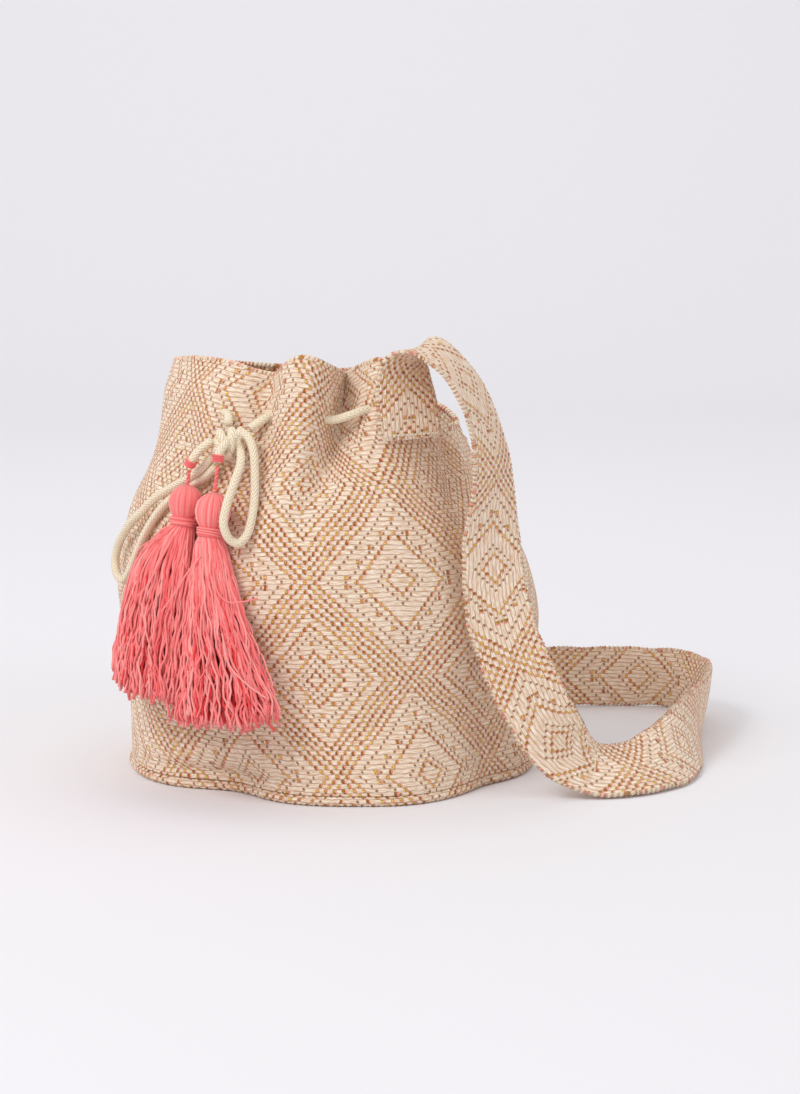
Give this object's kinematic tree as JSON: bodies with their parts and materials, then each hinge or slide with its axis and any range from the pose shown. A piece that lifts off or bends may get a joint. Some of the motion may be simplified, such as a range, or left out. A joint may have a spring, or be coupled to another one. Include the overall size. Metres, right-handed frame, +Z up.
{
  "type": "drawstring bucket bag",
  "caption": "Soft woven drawstring bucket bag with a wide shoulder strap, a bow-tied drawcord and a pair of hanging tassels.",
  "frame": {"origin": "centre of the base panel's underside, on the surface that the bag stands on", "axes": "+Z up through the mouth; -Y is the front, where the bow and the tassels are; +X is the bag's right as seen from the front, where the strap lies"},
  "size_m": [0.4017, 0.3229, 0.2867],
  "materials": {
    "woven_cloth": "heavy woven cotton with diamonds in pink and gold thread",
    "seam_yarn": "crocheted ridge of cream, pink and gold yarn",
    "sewing_thread": "matt cotton thread",
    "drawcord": "braided cotton cord",
    "tassel_yarn": "loose twisted cotton yarn"
  },
  "bodies": {
    "bag": {"bag_body": "woven_cloth", "base_panel": "woven_cloth", "base_seam": "seam_yarn", "shoulder_strap": "woven_cloth", "strap_stitching_front": "sewing_thread", "strap_stitching_back": "sewing_thread", "drawcord_mouth": "drawcord", "drawcord_bow_knot": "drawcord", "drawcord_loop_left": "drawcord", "drawcord_loop_right": "drawcord", "drawcord_end_left": "drawcord", "drawcord_end_right": "drawcord"},
    "tassel_left": {"tassel_left_hanger": "tassel_yarn", "tassel_left_yarn": "tassel_yarn", "tassel_left_binding": "tassel_yarn"},
    "tassel_right": {"tassel_right_hanger": "tassel_yarn", "tassel_right_yarn": "tassel_yarn", "tassel_right_binding": "tassel_yarn"}
  },
  "joints": [
    {"name": "tassel_left_swing", "type": "hinge", "parent": "bag", "child": "tassel_left", "pos_m": [-0.08531, -0.09411, 0.203], "axis": [-0.7986, 0.6018, 0], "range_deg": [0, 70]},
    {"name": "tassel_right_swing", "type": "hinge", "parent": "bag", "child": "tassel_right", "pos_m": [-0.06694, -0.10795, 0.207], "axis": [-0.7986, 0.6018, 0], "range_deg": [0, 70]}
  ]
}
